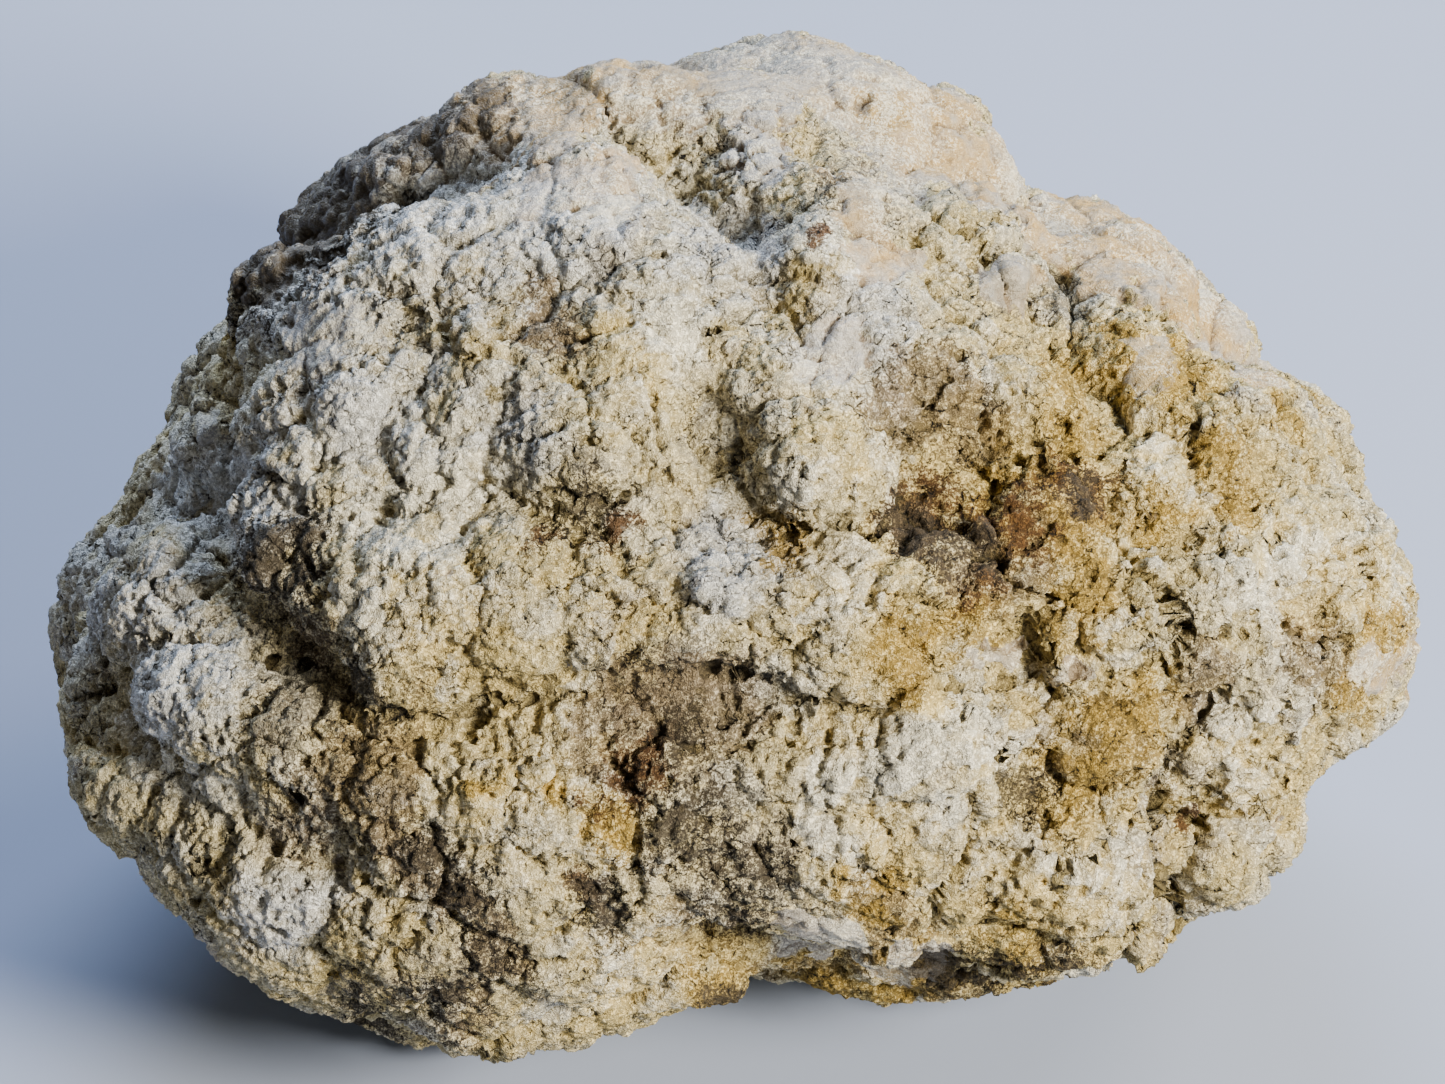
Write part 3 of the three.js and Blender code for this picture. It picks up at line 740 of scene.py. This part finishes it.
class Finish:
    """A node material, built one node at a time."""

    def __init__(self, name):
        self.material = bpy.data.materials.new(name)
        self.material.use_nodes = True
        self.tree = self.material.node_tree
        self.tree.nodes.clear()

    def node(self, kind, settings=None, values=None, output=0):
        """Adds a node, sets it up, fills or links its sockets and gives one of its outputs."""
        made = self.tree.nodes.new(kind)
        for name, setting in (settings or {}).items():
            setattr(made, name, setting)
        for key, value in (values or {}).items():
            if isinstance(value, Value):
                self.tree.links.new(value.socket, made.inputs[key])
            else:
                made.inputs[key].default_value = value
        return None if output is None else Value(self, made.outputs[output])

    def maths(self, operation, first, second=0.0):
        return self.node("ShaderNodeMath", {"operation": operation}, {0: first, 1: second})

    def attribute(self, name):
        return self.node("ShaderNodeAttribute", {"attribute_name": name}, output="Fac")

    def noise(self, place, size, detail=2.0, roughness=0.5):
        values = {"Vector": place, "Scale": 1 / size, "Detail": detail, "Roughness": roughness}
        return self.node("ShaderNodeTexNoise", {"noise_dimensions": "3D"}, values)

    def wander(self, place, size, reach):
        """The place moved about, so that patterns on it look grown."""
        values = {"Vector": place, "Scale": 1 / size, "Detail": 1.0}
        drift = self.node("ShaderNodeTexNoise", {"noise_dimensions": "3D"}, values, output="Color")
        centred = self.node("ShaderNodeVectorMath", {"operation": "SUBTRACT"}, {0: drift, 1: (0.5, 0.5, 0.5)})
        settings = {"operation": "MULTIPLY_ADD"}
        return self.node("ShaderNodeVectorMath", settings, {0: centred, 1: (2 * reach,) * 3, 2: place})

    def vector(self, operation, first, second, output="Vector"):
        return self.node("ShaderNodeVectorMath", {"operation": operation}, {0: first, 1: second}, output)

    def cells(self, place, normal, size):
        """For cells about size across, in millimetres: distance to the nearest middle, and along the surface to an edge."""
        settings = {"voronoi_dimensions": "3D", "feature": "F1"}
        values = {"Vector": place, "Scale": 1 / size}
        own = self.node("ShaderNodeTexVoronoi", settings, values, "Position")
        other = self.node("ShaderNodeTexVoronoi", {**settings, "feature": "F2"}, values, "Position")
        across = self.vector("NORMALIZE", self.vector("SUBTRACT", other, own), (0, 0, 0))
        between = self.vector("MULTIPLY", self.vector("ADD", own, other), (0.5, 0.5, 0.5))
        depth = self.vector("DOT_PRODUCT", self.vector("SUBTRACT", between, place), across, "Value")
        slant = self.vector("DOT_PRODUCT", across, normal, "Value")
        edge = depth * self.maths("INVERSE_SQRT", 1.001 - slant * slant)
        return self.vector("DISTANCE", own, place, "Value"), edge

    def step(self, value, low, high):
        """0 below low, 1 above high and smooth between."""
        values = {"Value": value, "From Min": low, "From Max": high}
        return self.node("ShaderNodeMapRange", {"interpolation_type": "SMOOTHSTEP"}, values)

    def dim(self, color, level):
        """The colour made darker or lighter by a level."""
        level = self.node("ShaderNodeCombineColor", None, {0: level, 1: level, 2: level})
        return self.mix(color, level, 1.0, "MULTIPLY")

    def mix(self, under, over, share, blend="MIX"):
        settings = {"data_type": "RGBA", "blend_type": blend}
        return self.node("ShaderNodeMix", settings, {0: share, 6: under, 7: over}, output=2)

    def shader(self, color, roughness, **values):
        values = {"Base Color": color, "Roughness": roughness, "Specular IOR Level": 0.35, **values}
        return self.node("ShaderNodeBsdfPrincipled", None, values, "BSDF")

    def finished(self, surface):
        self.node("ShaderNodeOutputMaterial", None, {"Surface": surface}, None)
        return self.material


def shade(red, green, blue):
    """A colour from 0 to 255 as it looks, as the shader's linear values."""
    return tuple(((v / 255 + 0.055) / 1.055) ** 2.4 if v > 10 else v / 255 / 12.92 for v in (red, green, blue)) + (1.0,)


CREAM = shade(234, 220, 176)
WHITE = shade(248, 242, 220)
LAVENDER = shade(198, 188, 180)
FROST_AND_HIGHLIGHT_WHITE = shade(228, 232, 240)
STONE_GREY = shade(154, 148, 134)
SAND_BROWN = shade(138, 116, 84)
RUST_BROWN = shade(100, 66, 32)
OCHRE_GOLD = shade(178, 146, 62)
PALE_YELLOW = shade(230, 204, 128)
OLIVE_BROWN = shade(92, 82, 50)
PEACH_PINK = shade(206, 168, 96)
CHALCEDONY = shade(190, 182, 168)
SMOKE_AND_SHADE = shade(80, 70, 54)
DARK_EARTH_AND_SHADE = shade(46, 39, 27)


def stone_finish():
    """Chalky cream crust with fine cracks, granules and pits, its stains, painted light and shade, and waxy chalcedony.
    """
    finish = Finish("rind_and_chalcedony")
    place = finish.node("ShaderNodeTexCoord", output="Object")
    place = finish.node("ShaderNodeVectorMath", {"operation": "SCALE"}, {0: place, "Scale": 1 / MM})
    normal = finish.node("ShaderNodeNewGeometry", output="Normal")
    waxy = finish.attribute("waxy")
    gap = finish.attribute("gap")
    hollow = finish.attribute("hollow")
    recess = finish.attribute("recess")
    cloud = finish.attribute("cloud")
    mottle = finish.attribute("mottle")
    patchy = finish.attribute("patchy")

    # fine patterns, in millimetres
    drifted = finish.wander(place, 1.1, 0.4)
    grit = finish.attribute("grit")
    grain = finish.step(finish.noise(place, 0.36, 2.0, 0.95), 0.37, 0.63)
    _, edge = finish.cells(drifted, normal, 2.4)
    plates = 1 - finish.step(edge, 0.02, 0.15)
    middle, edge = finish.cells(drifted, normal, 1.1)
    flakes = (1 - finish.step(edge, 0.0, 0.09)) * finish.step(patchy, 0.5, 0.62) * (1 - waxy)
    pits = (1 - finish.step(middle, 0.11, 0.22)) * finish.step(patchy, 0.52, 0.4) * (1 - waxy)

    # relief, from 0 in the gaps to 1 on the grains
    relief = grit * 0.5 + grain * 0.5
    cracks = flakes * 0.7 + plates * finish.step(patchy, 0.42, 0.56)
    low = 0.5 - relief + cracks * 0.3 + pits * 0.3

    def settled(stain, most):
        """Share of a stain that lies mostly in the low places between the grains."""
        return finish.step(stain * 1.15 + low * 0.9 + (mottle - 0.5) * 0.8, 0.35, 1.15) * most

    # colour of the crust, from the ground up
    tone = finish.attribute("lump_tone")
    paler_and_painted_light = finish.attribute("paler_and_painted_light")
    ochre = finish.attribute("ochre")
    # whiter on the pale patches, partly painted light
    color = finish.mix(CREAM, WHITE, finish.step(mottle + paler_and_painted_light * 0.35 + tone * 0.2, 0.4, 0.85))
    color = finish.mix(color, LAVENDER, finish.step(cloud + low * 0.2 - paler_and_painted_light * 0.3, 0.5, 0.75) * 0.6)
    yellow = (1 - cloud) * 0.7 + finish.attribute("yellow") * 0.45 - tone * 0.15 + hollow * 0.5 + low * 0.3 + ochre * 0.5
    color = finish.mix(color, PALE_YELLOW, finish.step(yellow, 0.25, 0.95) * 0.85)
    # pale frosting with a painted bluish highlight, more on raised places
    frosted_and_highlit = finish.step(finish.attribute("frost_and_painted_highlight") + (patchy - cloud) * 0.8 - low * 0.3, 0.1, 1.0)
    color = finish.mix(color, FROST_AND_HIGHLIGHT_WHITE, frosted_and_highlit * 0.6)
    color = finish.mix(color, STONE_GREY, settled(finish.attribute("grey"), 0.8))
    # sandy brown where the crust is sandy, and painted shade in the broad recesses
    color = finish.mix(color, SAND_BROWN, settled(finish.attribute("sandy") * 0.95 + recess * 0.2, 0.75))
    color = finish.mix(color, OCHRE_GOLD, settled(ochre * 0.95, 0.9))
    color = finish.mix(color, RUST_BROWN, settled(finish.attribute("rust"), 0.95))
    # smoky brown-grey, partly painted shade
    color = finish.mix(color, SMOKE_AND_SHADE, settled(finish.attribute("smoky_and_painted_shade") * 1.1, 0.9))
    # painted shade and olive dirt: olive-brown in hollows, recesses and low places, and where the olive stain lies
    dirt_and_painted_shade = finish.step(hollow * 1.2 + recess * 0.2 + finish.attribute("olive") * 0.45 + low * 0.5, 0.15, 1.0)
    color = finish.mix(color, OLIVE_BROWN, dirt_and_painted_shade * 0.55)
    # painted shade and light: darker in cracks, pits and low places between grains, lighter on the grains and on the
    # pale patches; granule tone varies it at random
    level = 0.45 + paler_and_painted_light * 0.17 + grit * 0.2 + grain * 0.52 - cracks * 0.44 - pits * 0.3
    level = level + (finish.attribute("granule_tone") - 0.5) * 0.2
    color = finish.dim(color, level)

    # chalcedony: cloudy, with frosty grains on it
    glass = finish.mix(CHALCEDONY, PEACH_PINK, finish.step(finish.attribute("peach") * 0.65 + (patchy + mottle - 1.0) * 1.4, -0.1, 0.8) * 0.9)
    glass = finish.mix(glass, OCHRE_GOLD, finish.step(ochre * 0.5 + mottle, 0.6, 1.1) * 0.6)
    glass = finish.mix(glass, STONE_GREY, finish.step(finish.attribute("grey") * 0.5 + cloud, 0.5, 1.0) * 0.6)
    # frost with a painted bluish highlight
    glass = finish.mix(glass, FROST_AND_HIGHLIGHT_WHITE, finish.attribute("frost_and_painted_highlight") * 0.35)
    glass = finish.mix(glass, WHITE, finish.step(cloud + patchy * 0.6 + grain * 0.25, 0.88, 1.15) * 0.75)
    # painted shade: the chalcedony browner and darker in its hollows, recesses and low places
    glass = finish.mix(glass, SAND_BROWN, finish.step(hollow * 1.8 + recess * 0.2 + low * 0.3, 0.0, 0.6) * 0.75)
    # smoky brown-grey on the chalcedony, partly painted shade, deeper in low places
    glass = finish.mix(glass, SMOKE_AND_SHADE, finish.step(finish.attribute("smoky_and_painted_shade") + low * 0.5, 0.0, 0.8) * 0.9)
    # painted shade: the chalcedony darker between its grains and lighter on them
    glass = finish.dim(glass, 0.7 + grit * 0.14 + grain * 0.22)

    # crust stands over the chalcedony in crumbs
    glassy = finish.step(waxy + (mottle - patchy) * 1.2 - grit * 0.4, 0.2, 0.34)
    color = finish.mix(color, glass, glassy)
    # painted shade with some dark earth, down in the cracks and holes
    color = finish.mix(color, DARK_EARTH_AND_SHADE, finish.step(gap, 0.25, 1.1) * 0.55)
    height = grain * (1 - waxy * 0.45)
    bump = finish.node("ShaderNodeBump", None, {"Strength": 1.0, "Distance": 0.17 * MM, "Height": height})
    rough = 0.95 - glassy * (0.42 + grit * 0.2)
    return finish.finished(finish.shader(color, rough, Normal=bump))


def floor_finish():
    finish = Finish("pale_floor")
    return finish.finished(finish.shader(shade(153, 164, 190), 0.7))


# --- Light, floor and camera ---------------------------------------------------------------------------------


def floor():
    shape = bmesh.new()
    bmesh.ops.create_grid(shape, x_segments=1, y_segments=1, size=3)
    mesh = bpy.data.meshes.new("floor")
    shape.to_mesh(mesh)
    shape.free()
    piece = new_piece("floor", mesh)
    piece.data.materials.append(floor_finish())
    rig.stage(piece)


def soft_light(name, at, size, power, color):
    lamp = bpy.data.lights.new(name, "AREA")
    lamp.shape = "DISK"
    lamp.size, lamp.energy, lamp.color = size, power, color
    light = bpy.data.objects.new(name, lamp)
    light.location = at
    light.rotation_euler = (Vector(CENTRE * MM) - Vector(at)).to_track_quat("-Z", "Y").to_euler()
    bpy.context.scene.collection.objects.link(light)


def studio_light():
    soft_light("window", (0.46, -0.38, 0.46), 0.24, 14.4, (1.0, 0.92, 0.76))
    soft_light("side_window", (0.50, 0.42, 0.42), 0.28, 4.0, (1.0, 0.95, 0.85))
    soft_light("sky", (-0.04, 0.52, 0.49), 0.50, 7.7, (0.60, 0.74, 1.0))
    world = bpy.data.worlds.new("studio")
    world.use_nodes = True
    sky = world.node_tree.nodes["Background"]
    sky.inputs["Color"].default_value = (1.0, 0.94, 0.84, 1.0)
    sky.inputs["Strength"].default_value = 0.12
    bpy.context.scene.world = world


def camera():
    lens = bpy.data.cameras.new("camera")
    lens.sensor_width = 36
    lens.lens = lens.sensor_width * VIEW_DISTANCE / VIEW_WIDTH
    lens.clip_start = 0.01
    view = bpy.data.objects.new("camera", lens)
    view.location = (CENTRE + VIEW_DISTANCE * FRONT.out) * MM
    view.rotation_euler = Vector(-FRONT.out).to_track_quat("-Z", "Y").to_euler()
    bpy.context.scene.collection.objects.link(view)
    bpy.context.scene.camera = view


def geode():
    whole = rounded_stone()
    pieces = shape_stone(whole).segments()
    bpy.data.objects.remove(whole)
    finish = stone_finish()
    for piece in pieces:
        piece.data.materials.append(finish)
        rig.replaces(piece, NODE)
        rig.ride(piece, BODY)
        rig.slot(piece, SLOT)


camera()
geode()
floor()
studio_light()

with open("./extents.json", "w") as sizes:
    json.dump([[list(corner) for corner in box] for box in (cad_box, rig.bounds())], sizes)
